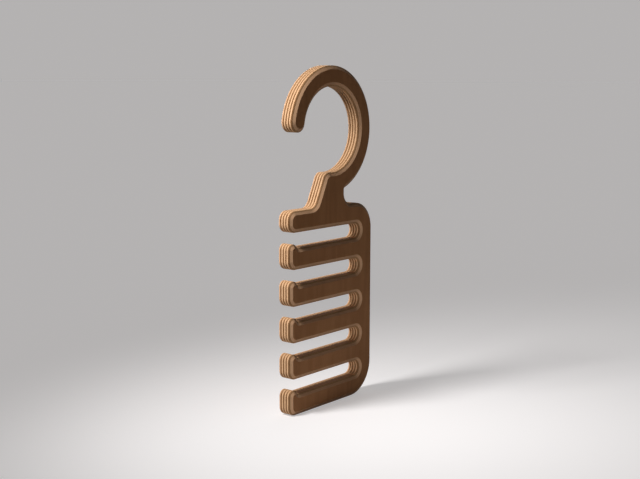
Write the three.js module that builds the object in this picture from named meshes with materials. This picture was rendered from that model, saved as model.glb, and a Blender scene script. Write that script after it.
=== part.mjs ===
// Belt hanger: a comb of fingers below an open hook, routed from one sheet of nine-ply birch plywood.
// Millimetres, +Z up, front face towards -Y. The origin lies under the middle of the board,
// in the plane of its bottom edge, so the board stands on Z = 0.
import * as THREE from "three";

// Sheet: plies of even thickness, glued with their grain crossed
const boardThickness = 12;

// Edges: a shallow bevel round the front, cut with a wide V-shaped bit, and only sanding on the back
const bevelWidth = 3.1;
const bevelDepth = 2;
const backSanding = 0.4;

// Comb: fingers that point left from an upright spine
const bodyWidth = 107.5;
const fingerCount = 6;
const fingerHeight = 17;
const slotHeight = 12.5;
const spineWidth = 17;
const fingerCornerRadius = 7.2;
const bodyCornerRadius = 26.8;
const shoulderCornerRadius = 22.5;

// Lip: the raised nose that keeps a belt from sliding off, on each finger below a slot
const lipHeight = 3.6;
const lipNoseRadius = 5;
const lipFilletRadius = 3;

// Hook: a ring of even width, open at the left, with a round tip
const hookOuterRadius = 51;
const hookBandWidth = 16.4;
const hookTipRise = THREE.MathUtils.degToRad(9.7);

// Neck: leaning on its left side, upright on its right, between the shoulders and the hook
const neckRise = 11;
const neckLeftFoot = 21.3;
const neckLean = THREE.MathUtils.degToRad(25.4);
const neckRightSide = 16.2;
const neckFilletRadius = 9;
const neckCornerRadius = 7.2;
const cutterRadius = 1.6;

// Facets: the most that a flat may cut off an arc, and the distance at which two points count as one
const chordError = 0.06;
const samePointDistance = 1e-4;

// Places that follow from the sizes above
const left = -bodyWidth / 2;
const right = bodyWidth / 2;
const slotPitch = fingerHeight + slotHeight;
const bodyHeight = fingerCount * fingerHeight + (fingerCount - 1) * slotHeight;
const slotEnd = right - spineWidth;
const slotEndRadius = slotHeight / 2;
const tipCornerRadius = Math.min(fingerCornerRadius, fingerHeight / 2);
const hookInnerRadius = hookOuterRadius - hookBandWidth;
const hookCentre = new THREE.Vector2(0, bodyHeight + neckRise + hookOuterRadius);
const quarterTurn = Math.PI / 2;

// Outline of the board, anticlockwise as seen from the front: x and z of each point with its outward direction.
// It is a chain of arcs that meet smoothly, and the straight edges are what lies between one arc and the next.
const outline = [];

function addArc(centre, radius, fromAngle, toAngle, side) {
  const stepAngle = 2 * Math.acos(1 - chordError / Math.max(radius, 2 * chordError));
  const steps = Math.ceil(Math.abs(toAngle - fromAngle) / stepAngle);
  const arc = new THREE.ArcCurve(centre.x, centre.y, radius, fromAngle, toAngle, toAngle < fromAngle);
  for (const point of arc.getPoints(steps)) {
    const previous = outline.at(-1);
    if (previous && previous.point.distanceTo(point) < samePointDistance) continue;
    const outward = point.clone().sub(centre).multiplyScalar(side / radius);
    outline.push({ point, outward });
  }
}

// An outer corner turns anticlockwise round wood, an inner corner turns clockwise round air
const addOuterArc = (centre, radius, from, to) => addArc(centre, radius, from, to, 1);
const addInnerArc = (centre, radius, from, to) => addArc(centre, radius, from, to, -1);

// Right side: bottom corner of the body, then its shoulder, whose radius leaves room for the neck's fillet
function addSpine() {
  const shoulderRadius = Math.min(shoulderCornerRadius, right - neckRightSide - neckFilletRadius);
  const bottomCorner = new THREE.Vector2(right - bodyCornerRadius, bodyCornerRadius);
  const shoulder = new THREE.Vector2(right - shoulderRadius, bodyHeight - shoulderRadius);
  addOuterArc(bottomCorner, bodyCornerRadius, -quarterTurn, 0);
  addOuterArc(shoulder, shoulderRadius, 0, quarterTurn);
}

// Right side of the neck, and the tight inner corner that the cutter leaves under the ring
function addNeckRight() {
  const cutterX = neckRightSide + cutterRadius;
  const cutterDrop = Math.sqrt((hookOuterRadius + cutterRadius) ** 2 - cutterX ** 2);
  const cutterCentre = new THREE.Vector2(cutterX, hookCentre.y - cutterDrop);
  const filletRadius = Math.min(neckFilletRadius, cutterCentre.y - bodyHeight);
  const fillet = new THREE.Vector2(neckRightSide + filletRadius, bodyHeight + filletRadius);
  const towardsHook = hookCentre.clone().sub(cutterCentre).angle();
  addInnerArc(fillet, filletRadius, -quarterTurn, -2 * quarterTurn);
  addInnerArc(cutterCentre, cutterRadius, 2 * quarterTurn, towardsHook);
  return towardsHook - 2 * quarterTurn;
}

// Ring of the hook: outside from the neck over the top, round the tip, and back along the inside
function addHook(outsideStart, insideEnd) {
  const tipAngle = 2 * quarterTurn - hookTipRise;
  const middleRadius = hookOuterRadius - hookBandWidth / 2;
  const tipOffset = new THREE.Vector2(Math.cos(tipAngle), Math.sin(tipAngle)).multiplyScalar(middleRadius);
  const tipCentre = hookCentre.clone().add(tipOffset);
  addOuterArc(hookCentre, hookOuterRadius, outsideStart, tipAngle);
  addOuterArc(tipCentre, hookBandWidth / 2, tipAngle, tipAngle + 2 * quarterTurn);
  addInnerArc(hookCentre, hookInnerRadius, tipAngle, insideEnd);
}

// Centre of the round corner where the inside of the hook turns down the leaning side of the neck:
// it keeps its radius from the leaning side and from the inside of the ring
function neckCornerCentre() {
  const upTheSide = new THREE.Vector2(Math.sin(neckLean), Math.cos(neckLean));
  const intoTheWood = new THREE.Vector2(Math.cos(neckLean), -Math.sin(neckLean));
  const foot = new THREE.Vector2(-neckLeftFoot, bodyHeight);
  const start = foot.addScaledVector(intoTheWood, neckCornerRadius);
  const fromHook = start.clone().sub(hookCentre);
  const along = fromHook.dot(upTheSide);
  const reach = hookInnerRadius + neckCornerRadius;
  const climb = -along - Math.sqrt(along ** 2 - fromHook.lengthSq() + reach ** 2);
  return start.addScaledVector(upTheSide, climb);
}

// Left side of the neck, from the corner at the ring down to the top of the first finger
function addNeckLeft(cornerCentre) {
  const towardsHook = hookCentre.clone().sub(cornerCentre).angle();
  const filletRun = neckFilletRadius * (1 - Math.sin(neckLean)) / Math.cos(neckLean);
  const filletX = -neckLeftFoot + filletRun * Math.sin(neckLean) - neckFilletRadius * Math.cos(neckLean);
  const fillet = new THREE.Vector2(filletX, bodyHeight + neckFilletRadius);
  addOuterArc(cornerCentre, neckCornerRadius, towardsHook, 2 * quarterTurn - neckLean);
  addInnerArc(fillet, neckFilletRadius, -neckLean, -quarterTurn);
}

// Lower corner at the tip of a finger
function addFingerUnderside(fingerBottom) {
  const corner = new THREE.Vector2(left + tipCornerRadius, fingerBottom + tipCornerRadius);
  addOuterArc(corner, tipCornerRadius, 2 * quarterTurn, 3 * quarterTurn);
}

// Round end of a slot, then the lip on the finger below it: a fillet that runs up into the nose
function addSlotAndLip(slotTop) {
  const slotBottom = slotTop - slotHeight;
  const slotCentre = new THREE.Vector2(slotEnd - slotEndRadius, slotTop - slotEndRadius);
  const nose = new THREE.Vector2(left + lipNoseRadius, slotBottom + lipHeight - lipNoseRadius);
  const filletRise = slotBottom + lipFilletRadius - nose.y;
  const filletRun = Math.sqrt((lipNoseRadius + lipFilletRadius) ** 2 - filletRise ** 2);
  const fillet = new THREE.Vector2(nose.x + filletRun, nose.y + filletRise);
  const noseStart = Math.atan2(filletRise, filletRun);
  addInnerArc(slotCentre, slotEndRadius, quarterTurn, -quarterTurn);
  addInnerArc(fillet, lipFilletRadius, -quarterTurn, noseStart - 2 * quarterTurn);
  addOuterArc(nose, lipNoseRadius, noseStart, 2 * quarterTurn);
}

// The whole outline, from the bottom right corner up, over the hook, and down the fingers
function drawOutline() {
  const cornerCentre = neckCornerCentre();
  const cornerAngle = cornerCentre.clone().sub(hookCentre).angle() - 4 * quarterTurn;
  addSpine();
  const outsideStart = addNeckRight();
  addHook(outsideStart, cornerAngle);
  addNeckLeft(cornerCentre);
  const firstTip = new THREE.Vector2(left + tipCornerRadius, bodyHeight - tipCornerRadius);
  addOuterArc(firstTip, tipCornerRadius, quarterTurn, 2 * quarterTurn);
  addFingerUnderside(bodyHeight - fingerHeight);
  for (let slot = 1; slot < fingerCount; slot++) {
    const slotTop = bodyHeight - fingerHeight - (slot - 1) * slotPitch;
    addSlotAndLip(slotTop);
    addFingerUnderside(slotTop - slotPitch);
  }
}

// How far the edge of the board lies inside the outline, at a depth behind the front face
function edgeInset(depth) {
  const bevelled = bevelWidth * Math.max(1 - depth / bevelDepth, 0);
  const sanded = Math.max(depth - (boardThickness - backSanding), 0);
  return bevelled + sanded;
}

// Depths at which a ply needs a section of its own: its two faces, and where its edge bends
function sectionDepths(front, back) {
  const bends = [bevelDepth, boardThickness - backSanding];
  const inside = bends.filter((depth) => depth > front + samePointDistance && depth < back - samePointDistance);
  return [front, ...inside, back];
}

// One ply: the outline carried from section to section, closed by a flat face at the front and at the back
function plyGeometry(front, back) {
  const depths = sectionDepths(front, back);
  const count = outline.length;
  const positions = [];
  const triangles = [];
  const sections = depths.map((depth) => {
    const inset = edgeInset(depth);
    return outline.map(({ point, outward }) => point.clone().addScaledVector(outward, -inset));
  });
  sections.forEach((section, ring) => {
    section.forEach((point) => positions.push(point.x, depths[ring], point.y));
  });
  for (let ring = 0; ring + 1 < depths.length; ring++) {
    for (let step = 0; step < count; step++) {
      const near = ring * count + step;
      const nearNext = ring * count + (step + 1) % count;
      triangles.push(near, near + count, nearNext);
      triangles.push(nearNext, near + count, nearNext + count);
    }
  }
  const lastRing = (depths.length - 1) * count;
  for (const [a, b, c] of THREE.ShapeUtils.triangulateShape(sections[0], [])) {
    triangles.push(a, b, c);
  }
  for (const [a, b, c] of THREE.ShapeUtils.triangulateShape(sections.at(-1), [])) {
    triangles.push(lastRing + a, lastRing + c, lastRing + b);
  }
  const geometry = new THREE.BufferGeometry();
  geometry.setAttribute("position", new THREE.Float32BufferAttribute(positions, 3));
  geometry.setIndex(triangles);
  geometry.computeVertexNormals();
  return geometry;
}

// Plies from front to back: browned face veneers, and between them pale plies and darker crossbands by turns
const faceVeneerColour = 0xad8160;
const longPlyColour = 0xdcb793;
const crossbandColour = 0x865d40;
const woodRoughness = 0.55;
const plies = [
  { name: "front_face_veneer", colour: faceVeneerColour },
  { name: "front_outer_crossband", colour: crossbandColour },
  { name: "front_long_ply", colour: longPlyColour },
  { name: "front_inner_crossband", colour: crossbandColour },
  { name: "centre_long_ply", colour: longPlyColour },
  { name: "back_inner_crossband", colour: crossbandColour },
  { name: "back_long_ply", colour: longPlyColour },
  { name: "back_outer_crossband", colour: crossbandColour },
  { name: "back_face_veneer", colour: faceVeneerColour },
];

drawOutline();
const plyThickness = boardThickness / plies.length;
const board = new THREE.Group();
board.position.y = -boardThickness / 2;
plies.forEach(({ name, colour }, index) => {
  const material = new THREE.MeshStandardMaterial({ color: colour, roughness: woodRoughness, metalness: 0 });
  const ply = new THREE.Mesh(plyGeometry(index * plyThickness, (index + 1) * plyThickness), material);
  ply.name = name;
  board.add(ply);
});

const beltHanger = new THREE.Group();
beltHanger.add(board);

export default beltHanger;
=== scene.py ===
import math

import bpy
import numpy as np
from mathutils import Matrix, Vector


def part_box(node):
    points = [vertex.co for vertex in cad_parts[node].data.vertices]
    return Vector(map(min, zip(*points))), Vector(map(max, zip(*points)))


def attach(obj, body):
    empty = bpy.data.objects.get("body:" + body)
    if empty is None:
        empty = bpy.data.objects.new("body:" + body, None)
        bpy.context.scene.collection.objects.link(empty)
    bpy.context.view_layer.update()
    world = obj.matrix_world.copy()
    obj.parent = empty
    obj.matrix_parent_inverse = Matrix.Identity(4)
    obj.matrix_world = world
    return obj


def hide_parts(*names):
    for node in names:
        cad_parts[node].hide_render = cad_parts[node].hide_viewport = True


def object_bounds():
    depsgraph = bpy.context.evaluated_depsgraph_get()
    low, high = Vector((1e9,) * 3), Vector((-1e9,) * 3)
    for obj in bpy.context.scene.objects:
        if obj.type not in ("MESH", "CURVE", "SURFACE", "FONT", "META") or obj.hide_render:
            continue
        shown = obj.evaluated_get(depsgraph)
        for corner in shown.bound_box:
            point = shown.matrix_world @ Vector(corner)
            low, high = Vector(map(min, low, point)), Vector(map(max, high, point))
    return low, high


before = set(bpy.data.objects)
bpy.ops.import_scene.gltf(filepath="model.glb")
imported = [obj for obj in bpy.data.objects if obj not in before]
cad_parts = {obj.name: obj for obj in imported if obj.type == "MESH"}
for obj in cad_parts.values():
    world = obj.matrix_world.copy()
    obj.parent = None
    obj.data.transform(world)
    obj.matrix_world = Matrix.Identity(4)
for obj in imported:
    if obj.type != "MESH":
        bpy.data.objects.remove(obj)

cad_low, cad_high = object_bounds()

# Front face veneer: a leaf of birch, its grain upright, sanded and sealed with oil to a warm honey brown.
# That brown is partly painted shade, darker and more saturated than the oil alone, for the face's shade.
# Nine plies are pressed and oiled as one board before it is routed, so this outline is every ply's.
# The wide V-shaped bit that bevels the front cuts below the oiled skin and leaves a paler sloping band.
mm = 0.001
quarter_turn = math.pi / 2
front_face = cad_low.y
board_thickness = cad_high.y - cad_low.y
fingertips = cad_low.x
spine_side = cad_high.x

finger_count = 6
finger_height = 17 * mm
slot_height = 12.5 * mm
slot_pitch = finger_height + slot_height
body_height = finger_count * slot_pitch - slot_height
spine_width = 17 * mm
slot_end_radius = slot_height / 2
fingertip_radius = 7.2 * mm
bottom_corner_radius = 26.8 * mm
shoulder_radius = 22.5 * mm
lip_height = 3.6 * mm
lip_nose_radius = 5 * mm
lip_fillet_radius = 3 * mm
hook_outer_radius = 51 * mm
hook_band_width = 16.4 * mm
hook_inner_radius = hook_outer_radius - hook_band_width
hook_tip_angle = math.pi - math.radians(9.7)
neck_rise = 11 * mm
neck_left_foot = 21.3 * mm
neck_lean = math.radians(25.4)
neck_right_side = 16.2 * mm
neck_fillet_radius = 9 * mm
neck_corner_radius = 7.2 * mm
cutter_radius = 1.6 * mm
hook_centre = np.array([0.0, body_height + neck_rise + hook_outer_radius])
arc_flatness = 0.004 * mm
nearest_points = 0.001 * mm
longest_straight = 4 * mm
wood, air = 1, -1


def arc(centre, radius, start, end, side):
    """Rows of x, z, outward x, outward z along an arc: centre + radius * (cos, sin) of even angles.
    Outward is that same (cos, sin) round wood and its opposite round air."""
    step = 2 * math.acos(1 - arc_flatness / radius)
    angle = np.linspace(start, end, math.ceil(abs(end - start) / step) + 1)
    ray = np.stack([np.cos(angle), np.sin(angle)], axis=1)
    return np.hstack([np.asarray(centre) + radius * ray, side * ray])


def angle_of(vector):
    """The angle from x towards z at which a vector in the board's plane points."""
    return math.atan2(vector[1], vector[0])


def spine_and_shoulder():
    """Two corner arcs, bottom right and top right; the spine's straight side lies between them."""
    bottom = (spine_side - bottom_corner_radius, bottom_corner_radius)
    shoulder = (spine_side - shoulder_radius, body_height - shoulder_radius)
    return [
        arc(bottom, bottom_corner_radius, -quarter_turn, 0, wood),
        arc(shoulder, shoulder_radius, 0, quarter_turn, wood),
    ]


def neck_right_and_ring():
    """The fillet and the cutter's own radius on the neck's right side, then the ring: its outside over
    the top, half a circle round the tip, and its inside back to where the neck's corner touches it."""
    cutter_x = neck_right_side + cutter_radius
    cutter_drop = math.sqrt((hook_outer_radius + cutter_radius) ** 2 - cutter_x ** 2)
    cutter = np.array([cutter_x, hook_centre[1] - cutter_drop])
    fillet = (neck_right_side + neck_fillet_radius, body_height + neck_fillet_radius)
    to_ring = angle_of(hook_centre - cutter)
    tip_radius = hook_band_width / 2
    tip_ray = np.array([math.cos(hook_tip_angle), math.sin(hook_tip_angle)])
    tip = hook_centre + (hook_outer_radius - tip_radius) * tip_ray
    inside_end = angle_of(neck_corner - hook_centre)
    return [
        arc(fillet, neck_fillet_radius, -quarter_turn, -math.pi, air),
        arc(cutter, cutter_radius, math.pi, to_ring, air),
        arc(hook_centre, hook_outer_radius, to_ring - math.pi, hook_tip_angle, wood),
        arc(tip, tip_radius, hook_tip_angle, hook_tip_angle + math.pi, wood),
        arc(hook_centre, hook_inner_radius, hook_tip_angle, inside_end, air),
    ]


def neck_corner_centre():
    """Where a circle of the corner's radius touches both the leaning side and the inside of the ring: the
    lower root of the line beside the leaning side with the circle one radius outside the ring's inside."""
    up_the_side = np.array([math.sin(neck_lean), math.cos(neck_lean)])
    into_wood = np.array([math.cos(neck_lean), -math.sin(neck_lean)])
    start = np.array([-neck_left_foot, body_height]) + neck_corner_radius * into_wood
    from_ring = start - hook_centre
    along = from_ring @ up_the_side
    reach = hook_inner_radius + neck_corner_radius
    climb = -along - math.sqrt(along ** 2 - from_ring @ from_ring + reach ** 2)
    return start + climb * up_the_side


def neck_left():
    """The round corner under the ring, then the fillet from the leaning side down to the first finger."""
    fillet_run = neck_fillet_radius * (1 - math.sin(neck_lean)) / math.cos(neck_lean)
    fillet_x = fillet_run * math.sin(neck_lean) - neck_fillet_radius * math.cos(neck_lean) - neck_left_foot
    fillet = (fillet_x, body_height + neck_fillet_radius)
    to_ring = angle_of(hook_centre - neck_corner)
    return [
        arc(neck_corner, neck_corner_radius, to_ring, math.pi - neck_lean, wood),
        arc(fillet, neck_fillet_radius, -neck_lean, -quarter_turn, air),
    ]


def fingertip_underside(finger_bottom):
    """One quarter circle: the lower corner of a fingertip."""
    corner = (fingertips + fingertip_radius, finger_bottom + fingertip_radius)
    return arc(corner, fingertip_radius, math.pi, 3 * quarter_turn, wood)


def slot_and_lip(slot_top):
    """The slot's half-round end, then the lip: a fillet off the finger's top that meets the round nose."""
    slot_bottom = slot_top - slot_height
    slot_end = (spine_side - spine_width - slot_end_radius, slot_top - slot_end_radius)
    nose = np.array([fingertips + lip_nose_radius, slot_bottom + lip_height - lip_nose_radius])
    rise = slot_bottom + lip_fillet_radius - nose[1]
    run = math.sqrt((lip_nose_radius + lip_fillet_radius) ** 2 - rise ** 2)
    lean = math.atan2(rise, run)
    return [
        arc(slot_end, slot_end_radius, quarter_turn, -quarter_turn, air),
        arc(nose + (run, rise), lip_fillet_radius, -quarter_turn, lean - math.pi, air),
        arc(nose, lip_nose_radius, lean, math.pi, wood),
    ]


def with_straights_divided(rows):
    """The closed outline with every long straight cut into equal steps, each a blend of its two ends."""
    ahead = np.roll(rows, -1, axis=0)
    parts = np.ceil(np.linalg.norm(ahead[:, :2] - rows[:, :2], axis=1) / longest_straight).astype(int)
    source = np.repeat(np.arange(len(rows)), parts)
    step = np.arange(parts.sum()) - np.repeat(np.cumsum(parts) - parts, parts)
    share = (step / parts[source])[:, None]
    return rows[source] * (1 - share) + ahead[source] * share


neck_corner = neck_corner_centre()
first_tip = (fingertips + fingertip_radius, body_height - fingertip_radius)
runs = spine_and_shoulder() + neck_right_and_ring() + neck_left()
runs.append(arc(first_tip, fingertip_radius, quarter_turn, math.pi, wood))
runs.append(fingertip_underside(body_height - finger_height))
for slot_above in range(finger_count - 1):
    slot_top = body_height - finger_height - slot_above * slot_pitch
    runs += slot_and_lip(slot_top)
    runs.append(fingertip_underside(slot_top - slot_pitch))
outline = np.concatenate(runs)
from_last_point = np.linalg.norm(outline[:, :2] - np.roll(outline[:, :2], 1, axis=0), axis=1)
outline = with_straights_divided(outline[from_last_point > nearest_points])

bevel_width = 3.1 * mm
bevel_depth = 2 * mm
bevel_turn = math.atan2(bevel_depth, bevel_width)
arris_radius = 0.35 * mm
back_sanding = 0.4 * mm
rubbed_band = 0.9 * mm  # beside an edge, where sanding has thinned the oil
rubbed_share = 0.25
ply_count = 9
ply_thickness = board_thickness / ply_count
depth_slack = 0.004 * mm
crease_points = 7
arris_points = 9
back_points = 9


def board_edge():
    """Rows of depth, inset, turn and bare share across the board's edge, from front face to back face.
    Turn is the angle that the surface has swung from the front face, and an eased corner of radius r runs
    through depth r(1 - cos turn) and inset -r sin turn. Bare share is 0 on an oiled face and 1 where the
    cutter has been."""
    crease = np.linspace(0, bevel_turn, crease_points)
    arris = np.linspace(bevel_turn, quarter_turn, arris_points)
    back = np.linspace(quarter_turn, math.pi, back_points)
    crease_start = bevel_width + arris_radius * math.tan(bevel_turn / 2)
    arris_run = arris_radius * math.tan((quarter_turn - bevel_turn) / 2)
    arris_depth = bevel_depth - arris_run * math.sin(bevel_turn)
    arris_inset = arris_run * math.cos(bevel_turn)
    rows = np.concatenate([
        [(0, bevel_width + rubbed_band, 0, 0)],
        np.stack([
            arris_radius * (1 - np.cos(crease)),
            crease_start - arris_radius * np.sin(crease),
            crease,
            rubbed_share + (1 - rubbed_share) * crease / bevel_turn,
        ], axis=1),
        np.stack([
            arris_depth + arris_radius * (math.cos(bevel_turn) - np.cos(arris)),
            arris_inset - arris_radius * (np.sin(arris) - math.sin(bevel_turn)),
            arris,
            np.ones(arris_points),
        ], axis=1),
        np.stack([
            board_thickness - back_sanding * (1 + np.cos(back)),
            back_sanding * (1 - np.sin(back)),
            back,
            rubbed_share + (1 - rubbed_share) * np.sin(back),
        ], axis=1),
        [(board_thickness, back_sanding + rubbed_band, math.pi, 0)],
    ])
    glue_lines = np.arange(1, ply_count) * ply_thickness
    at_glue = np.stack([np.interp(glue_lines, rows[:, 0], column) for column in rows.T], axis=1)
    rows = np.concatenate([rows, at_glue])
    return rows[np.argsort(rows[:, 0], kind="stable")]


edge_rows = board_edge()


def ply_piece(node, material, grain):
    """A profile carried along a path: the outline, moved inwards by the edge's inset at each depth of the
    ply, with one flat face closing the front and one closing the back. A side's normal is the outline's
    outward direction turned towards the front or the back face. Three values ride on the face corners:
    the bare share, how much of the grain is cut across there, and the distance run along the outline."""
    low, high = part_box(node)
    front, back = low[1] - front_face, high[1] - front_face
    in_ply = (edge_rows[:, 0] > front - depth_slack) & (edge_rows[:, 0] < back + depth_slack)
    depth, inset, turn, bare = edge_rows[in_ply].T
    plan = outline[None, :, :2] - inset[:, None, None] * outline[None, :, 2:]
    level = np.broadcast_to(front_face + depth[:, None], plan.shape[:2])
    vertices = np.stack([plan[..., 0], level, plan[..., 1]], axis=2).reshape(-1, 3)
    index = np.arange(len(vertices)).reshape(plan.shape[:2])
    ahead = np.roll(index, -1, axis=1)
    sides = np.stack([index[:-1], index[1:], ahead[1:], ahead[:-1]], axis=2).reshape(-1, 4)
    mesh = bpy.data.meshes.new(node + "_wood")
    mesh.from_pydata(vertices, [], sides.tolist() + [index[0].tolist(), index[-1, ::-1].tolist()])
    mesh.polygons.foreach_set("use_smooth", np.ones(len(mesh.polygons), dtype=bool))

    swing = np.sin(turn)[:, None] * np.ones(len(outline))
    facing = np.cos(turn)[:, None] * np.ones(len(outline))
    normals = np.stack([swing * outline[:, 2], -facing, swing * outline[:, 3]], axis=2).reshape(-1, 3)
    flat_front = np.tile((0.0, -1.0, 0.0), (len(outline), 1))
    mesh.normals_split_custom_set(np.concatenate([normals[sides.ravel()], flat_front, -flat_front]))

    gaps = np.linalg.norm(np.roll(outline[:, :2], -1, axis=0) - outline[:, :2], axis=1)
    run = np.concatenate([[0], np.cumsum(gaps)])
    cut = swing * np.abs(outline[:, 2 if grain == "X" else 3])
    cut_ahead = np.roll(cut, -1, axis=1)
    share = np.broadcast_to(bare[:, None], cut.shape)
    starts = np.broadcast_to(run[:-1], cut.shape)
    ends = np.broadcast_to(run[1:], cut.shape)
    corner_values = {
        "bare_share": (share[:-1], share[1:], share[1:], share[:-1]),
        "cut_grain": (cut[:-1], cut[1:], cut_ahead[1:], cut_ahead[:-1]),
        "edge_run": (starts[:-1], starts[1:], ends[1:], ends[:-1]),
    }
    for name, corners in corner_values.items():
        values = np.zeros(len(mesh.loops))
        values[: sides.size] = np.stack(corners, axis=2).ravel()
        mesh.attributes.new(name, "FLOAT", "CORNER").data.foreach_set("value", values)

    mesh.materials.append(material)
    piece = bpy.data.objects.new(node + "_wood", mesh)
    bpy.context.scene.collection.objects.link(piece)
    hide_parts(node)
    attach(piece, "root")


class Shade:
    """A value in a material. Python's operators on it add Math nodes beside it."""

    def __init__(self, tree, socket=None):
        self.tree = tree
        self.socket = socket

    def node(self, kind, settings, sockets, output=0):
        """Adds a node of any type: its settings first, then a value or a link for each of its sockets."""
        made = self.tree.nodes.new(kind)
        for name, value in settings.items():
            setattr(made, name, value)
        for name, value in sockets.items():
            if isinstance(value, Shade):
                self.tree.links.new(value.socket, made.inputs[name])
            else:
                made.inputs[name].default_value = value
        return Shade(self.tree, made.outputs[output] if made.outputs else None)

    def math(self, operation, *values):
        """Adds a Math node, with one value or link for each of its inputs in turn."""
        return self.node("ShaderNodeMath", {"operation": operation}, dict(enumerate(values)))

    def __add__(self, other):
        return self.math("ADD", self, other)

    def __radd__(self, other):
        return self.math("ADD", other, self)

    def __sub__(self, other):
        return self.math("SUBTRACT", self, other)

    def __rsub__(self, other):
        return self.math("SUBTRACT", other, self)

    def __mul__(self, other):
        return self.math("MULTIPLY", self, other)

    def __rmul__(self, other):
        return self.math("MULTIPLY", other, self)

    def clamped(self, low=0.0, high=1.0):
        """The value kept between two limits."""
        return self.node("ShaderNodeClamp", {}, {"Value": self, "Min": low, "Max": high})

    def mixed(self, low, high):
        """The colour between two colours at this value. Mix has sockets of the same name for numbers
        and for colours, so they go by their places."""
        factor, low_colour, high_colour, result_colour = 0, 6, 7, 2
        sockets = {factor: self, low_colour: low, high_colour: high}
        return self.node("ShaderNodeMix", {"data_type": "RGBA"}, sockets, result_colour)


fibre_size = (0.45 * mm, 14 * mm)  # across the grain and along it
mottle_size = (16 * mm, 70 * mm)
figure_size = (15 * mm, 120 * mm)
pore_size = (0.3 * mm, 3.5 * mm)
middle = 0.5  # of noise, of a tone between two colours, and of a ply
figure_bands = 26
pore_level = 0.64
pore_crispness = 9
pore_cover = 0.5
side_cut_streak = 0.9
end_cut_loss = 0.7
mottle_share = 0.6
glue_from_middle = 0.455  # in plies
glue_crispness = 40
glue_cover = 0.45
glue_colour = (0.13, 0.064, 0.03)
cutter_mark_pitch = 0.7 * mm
bare_roughness = 0.74
streak_roughness = 0.2
pore_roughness = 0.1
relief_strength = 0.22
relief_depth = 0.06 * mm
relief = {"fibre": 0.7, "pore": 0.8, "cutter_mark": 0.06, "glue": 0.5}
oil_reach = 2.2
oil_creep = 1.1
oil_stop = 0.45
oil_polish = 0.26
oil_filling = 0.3
oil_shares = {"streak": 0.5, "mottle": 0.9, "figure": 0.35, "pore": 0.4}


def birch(name, grain, pale, deep, pore_colour, cut_tone, sheen, oil_and_shade=None):
    """Solid birch: noise drawn out along the grain gives fibres on a side cut and dots on an end cut.
    The cut tone is how far the colour goes from pale to deep between a side cut and an end cut.
    Slower noise gives the figure and the mottling, glue lines lie where the plies meet, and the routed
    edge has faint cutter marks at right angles to its run. Oil, of two colours, tints the wood where it
    isn't bare, creeps a little way along the fibres, and fills and polishes them. The oil colours given
    for the face are partly painted shade, darker and more saturated than the oil alone."""
    material = bpy.data.materials.new(name)
    material.use_nodes = True
    tree = material.node_tree
    tree.nodes.clear()
    bench = Shade(tree)
    place = bench.node("ShaderNodeTexCoord", {}, {}, "Object")

    def drawn_out(size, detail):
        """Noise with one size across the grain and a longer one along it."""
        across, along = size
        scale = [1 / across] * 3
        scale["XYZ".index(grain)] = 1 / along
        spot = bench.node("ShaderNodeMapping", {}, {"Vector": place, "Scale": scale})
        return bench.node("ShaderNodeTexNoise", {}, {"Vector": spot, "Scale": 1.0, "Detail": detail})

    def ridden(attribute):
        """A value that rides on the mesh."""
        return bench.node("ShaderNodeAttribute", {"attribute_name": attribute}, {}, "Fac")

    fibre = drawn_out(fibre_size, detail=3.0)
    mottle = drawn_out(mottle_size, detail=2.0)
    contour = drawn_out(figure_size, detail=1.0)
    figure = bench.math("SINE", contour * figure_bands) * middle + middle
    pore = ((drawn_out(pore_size, detail=1.0) - pore_level) * pore_crispness).clamped()
    cut_grain = ridden("cut_grain")
    bare = ridden("bare_share")
    streak = (fibre - middle) * (side_cut_streak - cut_grain * end_cut_loss)
    depth = bench.node("ShaderNodeSeparateXYZ", {}, {"Vector": place}, "Y") - front_face
    plies_deep = (depth * (1 / ply_thickness)).clamped(middle, ply_count - middle)
    from_ply_middle = bench.math("ABSOLUTE", bench.math("FRACT", plies_deep) - middle)
    glue = ((from_ply_middle - glue_from_middle) * glue_crispness).clamped() * bare
    cutter_mark = bench.math("SINE", ridden("edge_run") * (2 * math.pi / cutter_mark_pitch)) * bare

    tone = (streak + (mottle - middle) * mottle_share + (cut_grain - middle) * cut_tone + middle).clamped()
    colour = tone.mixed((*pale, 1), (*deep, 1))
    colour = (pore * pore_cover).mixed(colour, (*pore_colour, 1))
    colour = (glue * glue_cover).mixed(colour, (*glue_colour, 1))
    roughness = bare_roughness + streak * streak_roughness + pore * pore_roughness
    height = fibre * relief["fibre"] - pore * relief["pore"]
    height = height + cutter_mark * relief["cutter_mark"] - glue * relief["glue"]
    if oil_and_shade:
        oil_and_shade_mask = ((1.0 - bare) * oil_reach + (fibre - middle) * oil_creep - oil_stop).clamped()
        oil_tone = streak * oil_shares["streak"] + (mottle - middle) * oil_shares["mottle"]
        oil_tone = (oil_tone + (figure - middle) * oil_shares["figure"] + middle).clamped()
        # the oil colour is partly painted shade: the face's tint is darkened and saturated for its shade
        oil_and_shade_colour = oil_tone.mixed((*oil_and_shade[0], 1), (*oil_and_shade[1], 1))
        oil_and_shade_colour = (pore * oil_shares["pore"]).mixed(oil_and_shade_colour, (*pore_colour, 1))
        colour = oil_and_shade_mask.mixed(colour, oil_and_shade_colour)
        roughness = roughness - oil_and_shade_mask * oil_polish
        height = height - oil_and_shade_mask * (fibre * oil_filling)
    bump = bench.node("ShaderNodeBump", {}, {
        "Strength": relief_strength,
        "Distance": relief_depth,
        "Height": height,
    })
    shader = bench.node("ShaderNodeBsdfPrincipled", {}, {
        "Base Color": colour,
        "Roughness": roughness,
        "Specular IOR Level": sheen,
        "Normal": bump,
    })
    bench.node("ShaderNodeOutputMaterial", {}, {"Surface": shader})
    return material


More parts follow.
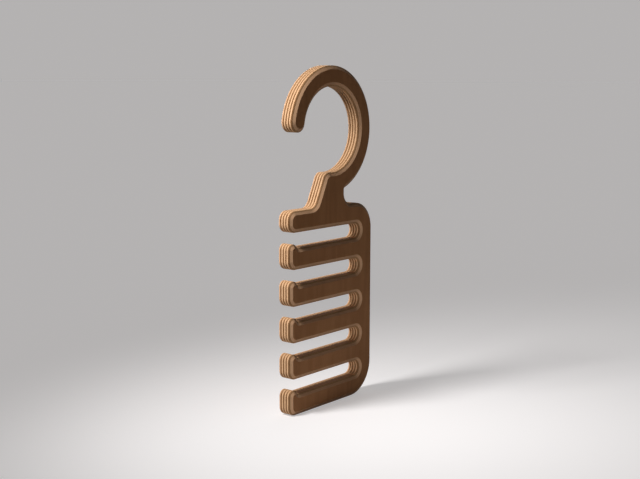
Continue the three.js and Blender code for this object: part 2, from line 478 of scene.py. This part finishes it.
# The oil colours here are partly painted shade, darker and more saturated than the oil alone.
face_birch = birch(
    "oiled_birch_face_painted_shade", "Z",
    pale=(0.76, 0.46, 0.27), deep=(0.6, 0.34, 0.185), pore_colour=(0.15, 0.065, 0.028), cut_tone=0.3,
    sheen=0.1, oil_and_shade=((0.53, 0.247, 0.102), (0.4, 0.175, 0.067)),
)
ply_piece("front_face_veneer", face_birch, "Z")

# Crossbands: four darker plies of birch whose grain runs from the fingertips to the spine.
# They are glued across their neighbours to keep the board flat, and show as dark lines round its edge.
# The front bevel runs out halfway through the first of them, so that one shows the widest line.
crossband_birch = birch(
    "crossband_birch_edge", "X",
    pale=(0.53, 0.298, 0.144), deep=(0.19, 0.083, 0.028), pore_colour=(0.1, 0.045, 0.02), cut_tone=0.9,
    sheen=0.15,
)
crossbands = (
    "front_outer_crossband",
    "front_inner_crossband",
    "back_inner_crossband",
    "back_outer_crossband",
)
for node in crossbands:
    ply_piece(node, crossband_birch, "X")

# Long plies: three pale plies of birch between the crossbands, with their grain upright.
# They carry the load of the belts up to the hook, and show as the bright lines round the edge.
# The routed edge is sanded and left bare, so it stays pale.
long_ply_birch = birch(
    "long_ply_birch_edge", "Z",
    pale=(0.745, 0.468, 0.272), deep=(0.61, 0.352, 0.185), pore_colour=(0.42, 0.24, 0.135), cut_tone=0.4,
    sheen=0.15,
)
for node in ("front_long_ply", "centre_long_ply", "back_long_ply"):
    ply_piece(node, long_ply_birch, "Z")

# Back face veneer: the same leaf as the front, its grain upright again so that the board is balanced.
# Its edge isn't bevelled, only broken by sanding, as the back lies against a wall or the next hanger.
ply_piece("back_face_veneer", face_birch, "Z")

# Studio: a plain pale floor, a soft key lamp to the left of the board and a little behind it, a low card
# on the left that lifts the bevels there, a weaker even light behind on the right, and a dim surround.
# The front face lies in soft shade, and takes most of its light from the floor.
floor_half_width = 60.0
floor_drop = 0.05 * mm
floor_colour = (0.55, 0.532, 0.529)  # what lights the board from below
floor_shown = (0.66, 0.641, 0.637)  # what the camera sees
surround_light = (0.018, 0.018, 0.0185)
backdrop_lift = (0.405, 0.394, 0.392)
black = (0, 0, 0)
left_card = {
    "bearing": (-0.9976, -0.1), "rise": math.radians(1.5), "width": math.radians(6), "strength": 0.95,
}
right_fill = {
    "bearing": (0.9, 0.44), "rise": math.radians(35), "width": math.radians(50), "strength": 0.3,
}
even_lights = {"left_card": left_card, "right_fill": right_fill}


def seen_directly(bench):
    """1 on what the camera sees, straight or by way of gloss or glass, and 0 on what only gives light."""
    ray = bench.node("ShaderNodeLightPath", {}, {}, "Is Camera Ray")
    ray = ray + bench.node("ShaderNodeLightPath", {}, {}, "Is Glossy Ray")
    ray = ray + bench.node("ShaderNodeLightPath", {}, {}, "Is Transmission Ray")
    return ray.clamped()


floor_square = np.array([(-1, -1), (1, -1), (1, 1), (-1, 1)]) * floor_half_width
floor_level = np.full(len(floor_square), -floor_drop)
floor_mesh = bpy.data.meshes.new("floor")
floor_mesh.from_pydata(np.column_stack([floor_square, floor_level]), [], [(0, 1, 2, 3)])
floor = bpy.data.objects.new("floor", floor_mesh)
bpy.context.scene.collection.objects.link(floor)
floor_paint = bpy.data.materials.new("pale_floor")
floor_paint.use_nodes = True
floor_paint.node_tree.nodes.clear()
bench = Shade(floor_paint.node_tree)
paint = bench.node("ShaderNodeBsdfPrincipled", {}, {
    "Base Color": seen_directly(bench).mixed((*floor_colour, 1), (*floor_shown, 1)),
    "Roughness": 1.0,
    "Specular IOR Level": 0.0,
    "Emission Color": seen_directly(bench).mixed((*black, 1), (*backdrop_lift, 1)),
    "Emission Strength": 1.0,
})
bench.node("ShaderNodeOutputMaterial", {}, {"Surface": paint})
floor_mesh.materials.append(floor_paint)

# The far floor lies outside the key lamp's pool, in even light alone, and the sky takes on its tone.
even_light = sum(light["strength"] * math.sin(light["rise"]) for light in even_lights.values())
even_on_floor = even_light / math.pi
far_floor = [
    shown * (sky_light + even_on_floor) + lift
    for sky_light, shown, lift in zip(surround_light, floor_shown, backdrop_lift)
]
surround = bpy.data.worlds.new("dim_surround")
surround.use_nodes = True
surround.node_tree.nodes.clear()
bench = Shade(surround.node_tree)
sky_colour = seen_directly(bench).mixed((*surround_light, 1), (*far_floor, 1))
sky = bench.node("ShaderNodeBackground", {}, {"Color": sky_colour})
bench.node("ShaderNodeOutputWorld", {}, {"Surface": sky})
bpy.context.scene.world = surround


def direction_to(bearing, rise):
    """The unit vector towards a bearing in plan and a rise above the floor."""
    return Vector((*bearing, 0)).normalized() * math.cos(rise) + Vector((0, 0, math.sin(rise)))


key_bearing = (-0.951, 0.309)
key_rise = math.radians(48)
key_distance = 0.63
key_target = Vector((-110, -40, 205)) * mm
key_data = bpy.data.lights.new("key_lamp", "AREA")
key_data.shape = "DISK"
key_data.size = 0.2
key_data.spread = math.radians(56)
key_data.energy = 0.54
key = bpy.data.objects.new("key_lamp", key_data)
key.location = (cad_low + cad_high) / 2 + direction_to(key_bearing, key_rise) * key_distance
key.rotation_euler = (key.location - key_target).to_track_quat("Z", "Y").to_euler()
key.visible_camera = False
bpy.context.scene.collection.objects.link(key)

for name, light in even_lights.items():
    lamp_data = bpy.data.lights.new(name, "SUN")
    lamp_data.energy = light["strength"]
    lamp_data.angle = light["width"]
    lamp = bpy.data.objects.new(name, lamp_data)
    lamp.rotation_euler = direction_to(light["bearing"], light["rise"]).to_track_quat("Z", "Y").to_euler()
    bpy.context.scene.collection.objects.link(lamp)

# Camera: stands in front of the board and well to its left, nearly as high as the top of the hook.
# It looks a little down, and shows the edges of the fingertips beside the front face.
camera_place = Vector((-707.31, -565.52, 268.86)) * mm
camera_yaw = math.radians(-50.964)
camera_pitch = math.radians(8.304)
camera_roll = math.radians(0.119)
focal_length_in_pixels = 1118.73
image_width = 640
camera_data = bpy.data.cameras.new("camera")
camera_data.sensor_fit = "HORIZONTAL"
camera_data.lens = focal_length_in_pixels / image_width * camera_data.sensor_width
camera_data.clip_end = 3 * floor_half_width
camera = bpy.data.objects.new("camera", camera_data)
camera_turn = Matrix.Rotation(camera_yaw, 4, "Z") @ Matrix.Rotation(quarter_turn - camera_pitch, 4, "X")
roll = Matrix.Rotation(camera_roll, 4, "Z")
camera.matrix_world = Matrix.Translation(camera_place) @ camera_turn @ roll
bpy.context.scene.collection.objects.link(camera)
bpy.context.scene.camera = camera
bpy.context.scene.view_settings.view_transform = "Standard"
